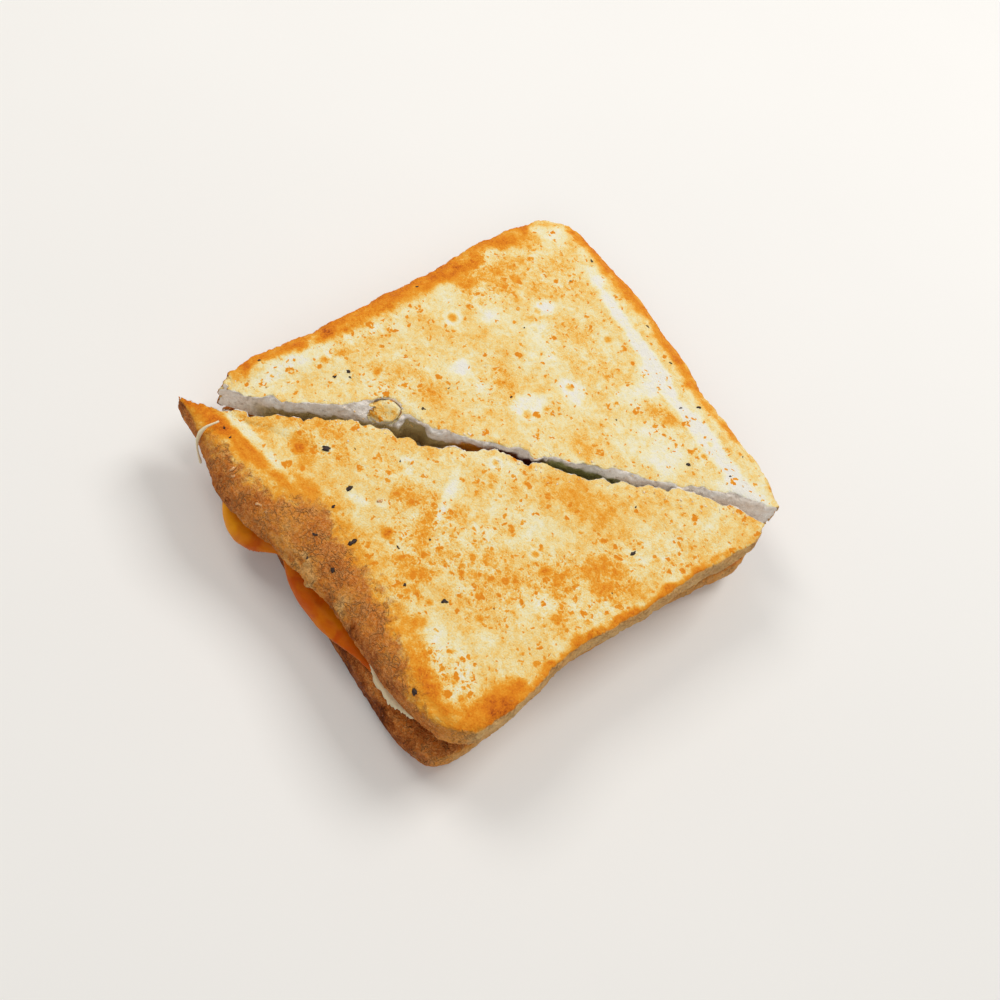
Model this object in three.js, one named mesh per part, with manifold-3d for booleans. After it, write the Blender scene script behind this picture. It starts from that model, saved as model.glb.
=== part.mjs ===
import * as THREE from 'three';
import { mergeVertices } from 'three/addons/utils/BufferGeometryUtils.js';
import Module from 'manifold-3d';

const wasm = await Module();
wasm.setup();

// A grilled cheese sandwich, cut from corner to corner into two halves that lie together.
// Millimetres, +Z up, the face it rests on at z = 0. The domed top of the loaf is at -Y and
// its flank at +X. The knife ran along x = y, from the near left corner to the far right one.

// ---- driving dimensions ----------------------------------------------------------------
const MIDDLE = new THREE.Vector2(-0.83, 4.15);   // plan middle of the whole sandwich
const GAP = 0.3;                                 // clearance between pieces that lie on each other
const LOWER_BREAD = { foot: 0, thick: 11.4 };
const YELLOW = { foot: LOWER_BREAD.thick + GAP, thick: 1.6 };
const WHITE = { foot: YELLOW.foot + YELLOW.thick + GAP, thick: 1.1 };
const UPPER_BREAD = { foot: WHITE.foot + WHITE.thick + GAP, thick: 12 };
const STEPS = { crust: 35, cut: 38, cheese: 36, cheeseCut: 18 };   // points along an edge
const KNIFE = new THREE.Vector2(1, 1).normalize();                 // direction of the cut
const ACROSS = new THREE.Vector2(-1, 1).normalize();               // from the front half to the back

// ---- crust stations: [x, y] of the upper rim, then how far the crust bellies out beyond the
// rim, and how far the foot draws back under the belly
const FRONT_UPPER_CRUST = [
  [-56.4, -59.6, 0.6, 1.2],
  [-42.0, -57.2, 4.4, 2.8],
  [-25.5, -55.8, 8.4, 4.8],
  [-12.0, -47.5, 14.4, 3.6],
  [2.0, -42.0, 17.0, 1.4],
  [16.0, -44.5, 13.0, 1.4],
  [30.0, -49.4, 7.0, 1.4],
  [46.0, -50.4, 4.6, 1.6],
  [55.6, -48.6, 3.0, 2.0],
  [57.4, -40.0, 1.4, 1.6],
  [56.8, -27.0, 1.0, 1.0],
  [54.2, -17.5, 1.4, 1.0],
  [56.4, 6.0, 1.2, 1.0],
  [56.6, 26.0, 1.2, 1.0],
  [58.6, 46.0, 1.2, 1.0],
  [57.6, 52.4, 0.8, 0.8],
];
const FRONT_LOWER_CRUST = [
  [-51.0, -55.6, 1.0, 0.8],
  [-30.0, -55.6, 1.6, 1.0],
  [0.0, -55.4, 1.6, 1.0],
  [20.0, -56.2, 1.8, 1.2],
  [46.0, -56.2, 2.0, 1.2],
  [55.6, -53.6, 2.0, 1.4],
  [56.6, -44.0, 1.6, 1.4],
  [53.2, -16.0, 1.8, 1.4],
  [54.0, 12.0, 1.8, 1.4],
  [56.2, 34.0, 1.8, 1.4],
  [58.8, 51.0, 1.8, 1.4],
  [57.6, 56.8, 0.8, 0.6],
];
const BACK_UPPER_CRUST = [
  [55.2, 59.4, 1.6, 1.0],
  [46.0, 61.6, 4.8, 1.8],
  [34.0, 62.6, 5.8, 2.0],
  [14.0, 63.0, 6.6, 2.0],
  [0.0, 64.8, 7.0, 2.0],
  [-24.0, 67.0, 7.2, 2.0],
  [-45.0, 67.2, 5.2, 2.0],
  [-55.0, 65.0, 4.2, 1.8],
  [-57.8, 56.0, 4.2, 1.8],
  [-57.6, 40.0, 4.5, 1.8],
  [-55.2, 20.0, 4.5, 1.8],
  [-54.2, 0.0, 4.5, 1.8],
  [-53.2, -20.0, 4.5, 1.8],
  [-54.0, -38.0, 4.2, 1.8],
  [-55.4, -50.6, 1.6, 1.0],
];
const BACK_LOWER_CRUST = [
  [53.6, 58.2, 0.8, 0.6],
  [34.0, 62.8, 1.8, 1.2],
  [0.0, 66.0, 1.8, 1.2],
  [-26.0, 69.2, 1.8, 1.2],
  [-48.0, 67.4, 1.8, 1.2],
  [-56.6, 60.0, 1.8, 1.2],
  [-58.2, 42.0, 1.8, 1.2],
  [-55.4, 12.0, 1.8, 1.2],
  [-54.2, -20.0, 1.8, 1.2],
  [-54.2, -49.0, 1.0, 0.8],
];

// ---- cut stations: distance along the knife line from the middle, then how far the upper rim
// stands across it toward the back. The knife dragged and tore the toasted faces.
const FRONT_UPPER_CUT = [
  [72, -0.6], [58, 1.3], [43, 0.6], [22.6, -1.5], [16, 1.2], [11, -1.7], [5.5, 0.5],
  [-2, -1.2], [-19, -2.2], [-30, -1.3], [-46, -1.6], [-56, -4.2], [-66, -5.1], [-75, -4.6],
];
const BACK_UPPER_CUT = [
  [-68, 1.3], [-60, 1.4], [-46, 2.7], [-36, 6.8], [-29, 9.4], [-22.5, 7.6], [-17, 4.8],
  [-4, 3.4], [3, 2.8], [11, 1.7], [23, 2.1], [35, 3.5], [60, 3.6], [73, 5.2],
];
const FRONT_LOWER_CUT = [[74, 0.2], [58, 0.6], [30, 0.2], [0, -0.8], [-30, -1.4], [-56, -2.6], [-69, -3.0]];
const BACK_LOWER_CUT = [[-66, 2.4], [-46, 2.6], [-24, 3.6], [0, 2.6], [24, 2.0], [50, 1.9], [72, 1.9]];

// ---- cheese stations: [x, y] of the slice's edge, how far it has run out beyond that edge,
// and how much of that run is straight out before it bends down over the crust
const FRONT_YELLOW_EDGE = [
  [-48.0, -52.5, 1.2, 1.2],
  [-36.0, -54.8, 1.2, 1.2],
  [-31.0, -55.4, 6.6, 4.8],
  [-25.0, -55.6, 12.8, 5.8],
  [-18.0, -55.6, 13.6, 5.8],
  [-13.0, -55.4, 8.4, 3.8],
  [-9.5, -55.0, 2.2, 1.6],
  [-6.0, -54.8, 4.6, 1.4],
  [0.0, -54.8, 8.0, 1.3],
  [8.0, -55.0, 8.0, 1.2],
  [16.0, -55.2, 5.8, 1.2],
  [23.0, -54.8, 2.6, 1.0],
  [29.0, -54.4, 1.4, 1.2],
  [44.0, -52.8, 1.0, 1.0],
  [53.0, -48.0, 1.0, 1.0],
  [51.6, -16.0, 1.0, 1.0],
  [52.0, 16.0, 1.0, 1.0],
  [55.0, 46.0, 1.0, 1.0],
  [55.0, 52.5, 1.0, 1.0],
];
const FRONT_WHITE_EDGE = [
  [-48.0, -52.5, 1.0, 1.0],
  [-20.0, -54.2, 1.0, 1.0],
  [10.0, -53.6, 1.0, 1.0],
  [27.0, -53.4, 1.2, 1.2],
  [32.0, -53.8, 3.2, 2.4],
  [38.0, -53.4, 3.0, 2.4],
  [43.5, -52.6, 2.2, 1.8],
  [48.0, -51.0, 1.2, 1.2],
  [52.6, -46.0, 1.0, 1.0],
  [51.4, -16.0, 1.0, 1.0],
  [52.0, 16.0, 1.0, 1.0],
  [55.0, 46.0, 1.0, 1.0],
  [55.0, 52.5, 1.0, 1.0],
];
const BACK_CHEESE_EDGE = [
  [53.0, 56.5, 1.0, 1.0],
  [33.0, 60.2, 1.0, 1.0],
  [0.0, 62.8, 1.0, 1.0],
  [-28.0, 65.0, 1.0, 1.0],
  [-48.0, 63.2, 1.0, 1.0],
  [-53.6, 56.6, 1.0, 1.0],
  [-54.0, 40.0, 1.0, 1.0],
  [-52.0, 12.0, 1.0, 1.0],
  [-51.0, -20.0, 1.0, 1.0],
  [-51.6, -46.0, 1.0, 1.0],
];
const FRONT_YELLOW_CUT = [[71, -0.6], [30, -1.2], [0, -1.6], [-30, -3.0], [-66, -4.0]];
const FRONT_WHITE_CUT = [[71, -1.2], [40, -0.4], [16, -1.6], [-20, -3.4], [-66, -4.6]];
const BACK_YELLOW_CUT = [[-62, 4.0], [-30, 4.6], [-4, 1.6], [14, 3.0], [46, 2.8], [70, 3.0]];
const BACK_WHITE_CUT = [[-62, 4.4], [-40, 4.2], [-20, 5.0], [0, 3.8], [20, 2.4], [46, 3.2], [70, 3.6]];

const TEARS = 46;                  // ragged tears along the whole cut
const BACK_CRUMB = 2.2;            // how far behind the knife line that crumb stands
const DROOP = { tip: new THREE.Vector2(-57, -60), depth: 3.8, reach: 38 };   // near left tip
// shares of the run at which a sheet that hangs, oozes or ends flush gets a ring of points
const DRAPED = [0, 0.3, 0.58, 0.84];
const OOZED = [0, 0.45, 0.8];
const FLUSH = [0, 0.6];
const FLAP_BEND = 3.4;             // radius of a cheese flap where it turns down
const CHIP = { at: [-25.6, -16.6, 24.4], long: 9.5, wide: 6.6, thick: 3.2, tilt: 0.42 };
const STRING = {
  radius: 0.6, clear: 0.45, place: 0.071, lean: -0.012,
  from: -0.55, to: 1.72, hang: 7, trail: 12, steps: 14,
};

// ---- seeded raggedness -----------------------------------------------------------------
function ragged(at, seed) {
  const lattice = (k) => {
    const value = Math.sin(k * 127.1 + seed * 311.7) * 43758.5453;
    return 2 * (value - Math.floor(value)) - 1;
  };
  const cell = Math.floor(at);
  const part = at - cell;
  const ease = part * part * (3 - 2 * part);
  return lattice(cell) * (1 - ease) + lattice(cell + 1) * ease;
}

// ---- edges in plan ---------------------------------------------------------------------
// Walks a smooth curve through the stations at even steps; each point keeps its outward
// direction and the station's other two sizes. The last point belongs to the next edge.
function crustEdge(stations, count) {
  const nodes = stations.map(([x, y]) => new THREE.Vector3(x, y, 0));
  const curve = new THREE.CatmullRomCurve3(nodes, false, 'centripetal');
  const points = [];
  for (let i = 0; i < count; i++) {
    const t = curve.getUtoTmapping(i / count);
    const place = Math.min(t * (stations.length - 1), stations.length - 1.0001);
    const before = stations[Math.floor(place)];
    const after = stations[Math.floor(place) + 1];
    const share = place % 1;
    const at = curve.getPoint(t);
    const way = curve.getTangent(t);
    points.push({
      at: new THREE.Vector2(at.x, at.y),
      out: new THREE.Vector2(way.y, -way.x).normalize(),
      third: THREE.MathUtils.lerp(before[2], after[2], share),
      fourth: THREE.MathUtils.lerp(before[3], after[3], share),
    });
  }
  return points;
}

// The cut face runs from the end of the crust back to its start. `outward` is +1 on the front
// half and -1 on the back half.
function cutEdge(start, finish, stations, outward, third, fourth, rough, seed, count) {
  const place = ([along, across]) => KNIFE.clone().multiplyScalar(along).addScaledVector(ACROSS, across);
  const path = [start, ...stations.map(place), finish].map((p) => new THREE.Vector3(p.x, p.y, 0));
  const curve = new THREE.CatmullRomCurve3(path, false, 'centripetal');
  const points = [];
  for (let i = 0; i < count; i++) {
    const share = i / count;
    const at = curve.getPointAt(share);
    const ends = Math.min(1, 8 * share, 8 * (1 - share));
    const tear = rough * ends * ragged(share * TEARS, seed);
    const spot = new THREE.Vector2(at.x, at.y).addScaledVector(ACROSS, tear);
    points.push({
      at: spot,
      out: ACROSS.clone().multiplyScalar(outward),
      third: third(spot, share),
      fourth: fourth(spot, share),
    });
  }
  return points;
}

// ---- closed solids from stacked rings --------------------------------------------------
// Every ring has the same number of points, counter-clockwise from above; the first and the
// last ring are closed to a middle point.
function stack(rings, lowPole, highPole) {
  const count = rings[0].length;
  const position = [];
  const index = [];
  rings.flat().forEach((p) => position.push(p.x, p.y, p.z));
  position.push(lowPole.x, lowPole.y, lowPole.z, highPole.x, highPole.y, highPole.z);
  const low = rings.length * count;
  const top = (rings.length - 1) * count;
  for (let i = 0; i < count; i++) {
    const next = (i + 1) % count;
    index.push(low, next, i, low + 1, top + i, top + next);
    for (let r = 0; r < rings.length - 1; r++) {
      const a = r * count + i;
      const b = r * count + next;
      index.push(a, b, b + count, a, b + count, a + count);
    }
  }
  const geometry = new THREE.BufferGeometry();
  geometry.setAttribute('position', new THREE.Float32BufferAttribute(position, 3));
  geometry.setIndex(index);
  geometry.computeVertexNormals();
  return geometry;
}

const level = (ring, z) => ring.map((p) => new THREE.Vector3(p.x, p.y, typeof z === 'function' ? z(p) : z));
const toward = (ring, heart, share) => ring.map((p) => heart.clone().lerp(p, share));

function heartOf(ring) {
  const heart = new THREE.Vector2();
  ring.forEach((p) => heart.add(p));
  return heart.divideScalar(ring.length);
}

function solid(geometry) {
  const bare = new THREE.BufferGeometry();
  bare.setAttribute('position', geometry.getAttribute('position'));
  bare.setIndex(geometry.getIndex());
  const welded = mergeVertices(bare);
  const vertProperties = new Float32Array(welded.getAttribute('position').array);
  const triVerts = new Uint32Array(welded.getIndex().array);
  return new wasm.Manifold(new wasm.Mesh({ numProp: 3, vertProperties, triVerts }));
}

function cutAway(geometry, tool) {
  const mesh = solid(geometry).subtract(solid(tool)).getMesh();
  const left = new THREE.BufferGeometry();
  left.setAttribute('position', new THREE.BufferAttribute(new Float32Array(mesh.vertProperties), 3));
  left.setIndex(new THREE.BufferAttribute(new Uint32Array(mesh.triVerts), 1));
  left.computeVertexNormals();
  return left;
}

// ---- a slice of bread ------------------------------------------------------------------
// foot ring, belly, a shoulder that turns in to the toasted face, and the face itself.
function breadSlice(edge, size, belly, face) {
  const rim = edge.map((p) => p.at);
  const waist = edge.map((p) => p.at.clone().addScaledVector(p.out, p.third));
  const foot = edge.map((p) => p.at.clone().addScaledVector(p.out, p.third - p.fourth));
  const heart = heartOf(rim);
  const bellyHeight = size.foot + belly * size.thick;
  const turn = (angle) => rim.map((p, i) => {
    const flat = waist[i].clone().lerp(p, 1 - Math.cos(angle));
    const rise = THREE.MathUtils.lerp(bellyHeight, face(p), Math.sin(angle));
    return new THREE.Vector3(flat.x, flat.y, rise);
  });
  const rings = [
    level(toward(foot, heart, 0.5), size.foot),
    level(toward(foot, heart, 0.985), size.foot),
    level(foot, size.foot + 0.6),
    level(waist, bellyHeight),
    turn(Math.PI * 0.17),
    turn(Math.PI * 0.34),
    turn(Math.PI * 0.5),
    level(toward(rim, heart, 0.9), face),
    level(toward(rim, heart, 0.55), face),
  ];
  const low = new THREE.Vector3(heart.x, heart.y, size.foot);
  return stack(rings, low, new THREE.Vector3(heart.x, heart.y, face(heart)));
}

// Toasted face of a top slice: nearly flat with slow waves, drooping toward the near left tip.
function upperFace(p) {
  const wave = 0.35 * Math.sin(p.x / 13 + 1) * Math.cos(p.y / 17);
  const near = Math.max(0, 1 - Math.hypot(p.x - DROOP.tip.x, p.y - DROOP.tip.y) / DROOP.reach);
  return UPPER_BREAD.foot + UPPER_BREAD.thick + wave - DROOP.depth * near * near;
}

const lowerFace = () => LOWER_BREAD.foot + LOWER_BREAD.thick;

// `reach` and `tuck` say how far the cut face stands beyond its upper rim and draws in below.
function halfEdge(crust, cut, outward, reach, tuck, rough, seed) {
  const points = crustEdge(crust, STEPS.crust);
  const [startX, startY] = crust[crust.length - 1];
  const [endX, endY] = crust[0];
  const start = new THREE.Vector2(startX, startY);
  const finish = new THREE.Vector2(endX, endY);
  const face = cutEdge(start, finish, cut, outward, reach, tuck, rough, seed, STEPS.cut);
  return points.concat(face);
}

// ---- a slice of melted cheese ----------------------------------------------------------
// The sheet goes straight out, bends down round FLAP_BEND and then hangs; `run` is the length
// of sheet beyond the edge of the slice.
function hang(run, straight) {
  if (run <= straight) return { out: run, down: 0, lean: 0 };
  const angle = Math.min((run - straight) / FLAP_BEND, Math.PI / 2);
  const rest = Math.max(0, run - straight - (FLAP_BEND * Math.PI) / 2);
  return {
    out: straight + FLAP_BEND * Math.sin(angle),
    down: FLAP_BEND * (1 - Math.cos(angle)) + rest,
    lean: angle,
  };
}

function cheeseSheet(edge, size, shares) {
  const heart = heartOf(edge.map((p) => p.at));
  const middle = size.foot + size.thick / 2;
  const ring = (share, side) => edge.map((p) => {
    const spot = hang(p.third * share, p.fourth);
    const swell = 1 + 0.5 * THREE.MathUtils.smoothstep(p.third, 3, 8) * Math.sin(Math.PI * share * 0.8);
    const half = (side * size.thick * swell) / 2;
    const flat = p.at.clone().addScaledVector(p.out, spot.out + half * Math.sin(spot.lean));
    const rise = middle - spot.down + half * Math.cos(spot.lean);
    return new THREE.Vector3(flat.x, flat.y, rise);
  });
  const disc = (share, z) => level(toward(edge.map((p) => p.at), heart, share), z);
  const rings = [
    disc(0.5, size.foot),
    ...shares.map((s) => ring(s, -1)),
    ring(1, 0),
    ...shares.slice().reverse().map((s) => ring(s, 1)),
    disc(0.5, size.foot + size.thick),
  ];
  const low = new THREE.Vector3(heart.x, heart.y, size.foot);
  return stack(rings, low, new THREE.Vector3(heart.x, heart.y, size.foot + size.thick));
}

function cheeseEdge(crust, cut, outward, ooze, seed) {
  const points = crustEdge(crust, STEPS.cheese);
  const start = new THREE.Vector2(...crust[crust.length - 1].slice(0, 2));
  const finish = new THREE.Vector2(...crust[0].slice(0, 2));
  const run = (_spot, share) => 1 + ooze * Math.max(0, ragged(share * 15, seed));
  const face = cutEdge(start, finish, cut, outward, run, run, 0.4, seed, STEPS.cheeseCut);
  return points.concat(face);
}

// ---- small pieces ----------------------------------------------------------------------
// A flake of toast that tore loose at the cut and hangs in the notch of the back half.
// `room` grows it all round, for the pocket that it lies in.
function tornChip(room) {
  const outline = (scale, z) => Array.from({ length: 12 }, (_, i) => {
    const angle = (i / 12) * Math.PI * 2;
    const jag = scale * (1 + 0.16 * ragged(i * 1.7, 9));
    const x = Math.cos(angle) * (CHIP.wide * 0.5 * jag + room);
    const y = Math.sin(angle) * (CHIP.long * 0.5 * jag + room);
    return new THREE.Vector3(x, y, z);
  });
  const h = CHIP.thick / 2 + room;
  const rings = [outline(0.7, -h), outline(1, -h * 0.3), outline(1, h * 0.5), outline(0.8, h)];
  const geometry = stack(rings, new THREE.Vector3(0, 0, -h), new THREE.Vector3(0, 0, h));
  geometry.rotateX(CHIP.tilt * 0.5);
  geometry.rotateY(CHIP.tilt);
  geometry.rotateZ(-Math.PI / 5);
  return geometry.translate(...CHIP.at);
}

// A string of melted cheese drawn up over the belly and the rim of the front half.
function cheeseString(edge, size, bellyShare) {
  const curve = [];
  const bellyHeight = size.foot + bellyShare * size.thick;
  const reach = STRING.radius + STRING.clear;
  for (let i = 0; i <= STRING.steps; i++) {
    const share = i / STRING.steps;
    const angle = THREE.MathUtils.lerp(STRING.from, STRING.to, share);
    const place = (STRING.place + STRING.lean * Math.sin(share * 2.6)) * STEPS.crust;
    const p = edge[Math.floor(place)];
    const q = edge[Math.floor(place) + 1];
    const at = p.at.clone().lerp(q.at, place % 1);
    const belly = THREE.MathUtils.lerp(p.third, q.third, place % 1);
    const turn = THREE.MathUtils.clamp(angle, 0, Math.PI / 2);
    const below = Math.min(0, angle) * STRING.hang;
    const past = Math.max(0, angle - Math.PI / 2) * STRING.trail;
    const flat = at.clone().addScaledVector(p.out, (belly + reach) * Math.cos(turn) - past);
    const rise = THREE.MathUtils.lerp(bellyHeight, upperFace(flat), Math.sin(turn));
    curve.push(new THREE.Vector3(flat.x, flat.y, rise + reach * Math.sin(turn) + below));
  }
  const path = new THREE.CatmullRomCurve3(curve);
  const frames = path.computeFrenetFrames(STRING.steps, false);
  const rings = frames.tangents.map((_, i) => {
    const centre = path.getPointAt(i / STRING.steps);
    const slim = STRING.radius * (0.55 + 0.45 * Math.cos((i / STRING.steps) * 5.2) ** 2);
    return Array.from({ length: 8 }, (_unused, k) => {
      const angle = (k / 8) * Math.PI * 2;
      return centre.clone()
        .addScaledVector(frames.normals[i], Math.cos(angle) * slim)
        .addScaledVector(frames.binormals[i], Math.sin(angle) * slim);
    });
  });
  return stack(rings, path.getPointAt(0), path.getPointAt(1));
}

// ---- the sandwich ----------------------------------------------------------------------
const toasted = { color: 0xefcf8e, roughness: 0.75, metalness: 0 };
const yellow = { color: 0xe8920f, roughness: 0.38, metalness: 0 };
const white = { color: 0xe9dcae, roughness: 0.42, metalness: 0 };

const sandwich = new THREE.Group();
function add(name, geometry, look) {
  const mesh = new THREE.Mesh(geometry, new THREE.MeshStandardMaterial(look));
  mesh.name = name;
  mesh.position.set(-MIDDLE.x, -MIDDLE.y, 0);
  sandwich.add(mesh);
}

const upright = () => 0.2;
const BELLY = { upper: 0.32, lower: 0.5 };
// The crumb of the back half still stands near the knife line where its toasted face tore off.
const crumbLeft = (spot) => Math.max(0.2, spot.dot(ACROSS) - BACK_CRUMB);
const frontUpper = halfEdge(FRONT_UPPER_CRUST, FRONT_UPPER_CUT, 1, upright, upright, 0.9, 3);
const backUpper = halfEdge(BACK_UPPER_CRUST, BACK_UPPER_CUT, -1, crumbLeft, upright, 0.7, 5);
const frontLower = halfEdge(FRONT_LOWER_CRUST, FRONT_LOWER_CUT, 1, upright, upright, 0.3, 7);
const backLower = halfEdge(BACK_LOWER_CRUST, BACK_LOWER_CUT, -1, upright, upright, 0.3, 8);

const frontYellow = cheeseEdge(FRONT_YELLOW_EDGE, FRONT_YELLOW_CUT, 1, 0.8, 11);
const frontWhite = cheeseEdge(FRONT_WHITE_EDGE, FRONT_WHITE_CUT, 1, 0.8, 12);
const backYellow = cheeseEdge(BACK_CHEESE_EDGE, BACK_YELLOW_CUT, -1, 1, 13);
const backWhite = cheeseEdge(BACK_CHEESE_EDGE, BACK_WHITE_CUT, -1, 1, 14);

add('front_bottom_slice', breadSlice(frontLower, LOWER_BREAD, BELLY.lower, lowerFace), toasted);
add('front_yellow_cheese', cheeseSheet(frontYellow, YELLOW, DRAPED), yellow);
add('front_white_cheese', cheeseSheet(frontWhite, WHITE, OOZED), white);
add('front_top_slice', breadSlice(frontUpper, UPPER_BREAD, BELLY.upper, upperFace), toasted);
add('back_bottom_slice', breadSlice(backLower, LOWER_BREAD, BELLY.lower, lowerFace), toasted);
add('back_yellow_cheese', cheeseSheet(backYellow, YELLOW, FLUSH), yellow);
add('back_white_cheese', cheeseSheet(backWhite, WHITE, FLUSH), white);
const backTop = breadSlice(backUpper, UPPER_BREAD, BELLY.upper, upperFace);
add('back_top_slice', cutAway(backTop, tornChip(GAP)), toasted);
add('torn_chip', tornChip(0), toasted);
add('cheese_string', cheeseString(frontUpper, UPPER_BREAD, BELLY.upper), white);

export default sandwich;
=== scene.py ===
import math

import bmesh
import bpy
import numpy as np
from mathutils import Matrix, Vector
from mathutils.bvhtree import BVHTree
from mathutils.kdtree import KDTree


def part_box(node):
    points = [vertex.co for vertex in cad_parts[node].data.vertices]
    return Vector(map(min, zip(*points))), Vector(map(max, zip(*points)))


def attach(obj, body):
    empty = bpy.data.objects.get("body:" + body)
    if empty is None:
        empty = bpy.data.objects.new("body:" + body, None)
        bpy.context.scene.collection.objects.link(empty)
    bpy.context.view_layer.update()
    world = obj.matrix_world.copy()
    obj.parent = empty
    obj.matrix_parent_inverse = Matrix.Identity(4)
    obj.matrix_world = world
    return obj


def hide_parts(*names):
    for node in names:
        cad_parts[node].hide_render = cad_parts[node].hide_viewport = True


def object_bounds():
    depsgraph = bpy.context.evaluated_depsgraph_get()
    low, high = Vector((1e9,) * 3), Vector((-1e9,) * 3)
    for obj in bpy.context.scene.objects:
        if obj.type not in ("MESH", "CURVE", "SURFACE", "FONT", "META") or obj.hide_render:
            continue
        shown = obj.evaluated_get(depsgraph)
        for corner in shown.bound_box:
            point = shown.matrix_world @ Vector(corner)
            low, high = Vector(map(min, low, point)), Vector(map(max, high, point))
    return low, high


# A grilled cheese sandwich cut from corner to corner. Each slice of bread and each sheet of
# cheese is a fine mesh grown from its solid in the frame, with the crumb, the crust and the
# ragged cut worked into the surface, and toasting painted by named patches.

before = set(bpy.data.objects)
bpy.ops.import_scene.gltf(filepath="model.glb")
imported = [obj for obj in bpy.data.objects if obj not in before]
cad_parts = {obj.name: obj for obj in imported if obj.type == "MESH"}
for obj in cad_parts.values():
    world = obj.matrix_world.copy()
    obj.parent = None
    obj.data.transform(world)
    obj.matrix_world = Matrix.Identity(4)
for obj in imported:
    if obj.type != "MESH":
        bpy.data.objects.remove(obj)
cad_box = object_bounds()

MM = 0.001
HEART = np.array([0.83, -4.15])          # middle of the bread, in mm, from which patches are placed
KNIFE = np.array([1.0, 1.0]) / math.sqrt(2)      # the way the knife ran
ACROSS = np.array([-1.0, 1.0]) / math.sqrt(2)    # from the front half to the back half
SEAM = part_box("front_top_slice")[0][2] / MM      # foot of the top slices

# Mesh size in mm, and how each solid is rounded before it gets that mesh.
GRAIN = {"top": 0.48, "bottom": 0.75, "melt": 0.5, "inner_melt": 0.8, "small": 0.22}
ROUNDING = {"merge": 0.01, "corner": 0.8, "levels": 2, "relax": 0.5, "passes": 2}
BREAD_CREASE = math.radians(58)
MELT_CREASE = math.radians(120)

# Baking, 0 to 1: of each side of the loaf and of the dome where it turns up to the griddled
# face; and painted shade: how much darker the crust of the bottom slices is painted, as under the
# top slices.
CRUST_DEPTH = {"dome": 0.71, "base": 0.55, "flank": 0.10, "left": 0.46}
DOME_DEPTH = 0.56
LOWER_DEEPER = 0.15
TOAST_LEVEL = {"front": 0.44, "back": 0.39, "chip": 0.52}     # toasting between the patches
FRECKLES = 0.30              # butter freckles all over the griddled faces

# Relief of the surface in mm.
CRUST_SWELL = 0.66           # how far the crust stands out again after the rounding
TOAST_RELIEF = {"grain": 0.09, "waves": 0.20}
CRUST_RELIEF = {"waves": 0.38, "folds": 0.52, "pits": 0.26, "frays": 0.8}
CRUMB_RELIEF = {"grain": 0.22, "waves": 0.35, "pores": 0.45}

# The cut, in mm: dry crumb above the cheese colour and painted shade lower down, the hollow
# torn in the back half beside the chip, and the left tip of the back half, which is crumbled short.
CUT_DRY = {"left": 4.2, "middle": 1.9, "right": 3.2}
TORN = {"along": -21.0, "reach": 3.6, "depth": 2.2}
THINNER = {"along": 16, "reach": 6}
WORN = {"from": 66.0, "to": 76.0, "depth": 2.4}
TEETH = {"coarse": 0.75, "fine": 0.45, "waves": 0.35, "overhang": 0.30}


# ---- noise -----------------------------------------------------------------------------
CELL_FACTORS = (73856093, 19349663, 83492791)      # stir a cell's place into one number
SEED_FACTOR = 2654435
STIRRINGS = ((13, 1274126177), (16, 668265263))    # shift and factor of each further stirring
KEPT_BITS = 0x7FFFFFFF
USED_BITS = 0xFFFFF
POSITIVE = 1000.0            # moves every cell away from zero, so that none is negative
LAYER_STEP = 7               # between the seeds of one noise's layers


def scatter_value(cell, seed):
    """A steady pseudo-random number from -1 to 1 for each whole-number cell."""
    mixed = seed * SEED_FACTOR
    for axis, factor in enumerate(CELL_FACTORS):
        mixed = mixed ^ (cell[:, axis] * factor)
    for shift, factor in STIRRINGS:
        mixed = (mixed ^ (mixed >> shift)) * factor & KEPT_BITS
    return (mixed & USED_BITS) / (USED_BITS >> 1) - 1.0


def lumps(points, size, seed):
    """Smooth value noise with lumps about `size` mm across."""
    spot = points / size + POSITIVE
    cell = np.floor(spot).astype(np.int64)
    part = spot - cell
    part = part * part * (3 - 2 * part)
    total = np.zeros(len(points))
    for corner in np.ndindex(2, 2, 2):
        weight = np.prod(np.where(np.array(corner), part, 1 - part), axis=1)
        total += weight * scatter_value(cell + np.array(corner), seed)
    return total


def rough(points, size, seed, layers=3, gain=0.5):
    """Noise in layers, each half as large and half as strong as the one before."""
    total = np.zeros(len(points))
    for k in range(layers):
        total += gain ** k * lumps(points, size / 2 ** k, seed + LAYER_STEP * k)
    return total


def pores(points, size, seed):
    """Distance to the nearest pore centre, 0 in the pore and about 1 between pores."""
    spot = points / size + POSITIVE
    home = np.floor(spot).astype(np.int64)
    best = np.full(len(points), np.inf)
    for step in np.ndindex(3, 3, 3):
        cell = home + np.array(step) - 1
        jitter = np.stack([scatter_value(cell, seed + k) for k in range(3)], axis=1) * 0.5 + 0.5
        best = np.minimum(best, np.linalg.norm(cell + jitter - spot, axis=1))
    return best


def ramp(value, low, high):
    """Rises smoothly from 0 at low to 1 at high."""
    share = np.clip((value - low) / (high - low), 0, 1)
    return share * share * (3 - 2 * share)


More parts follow.
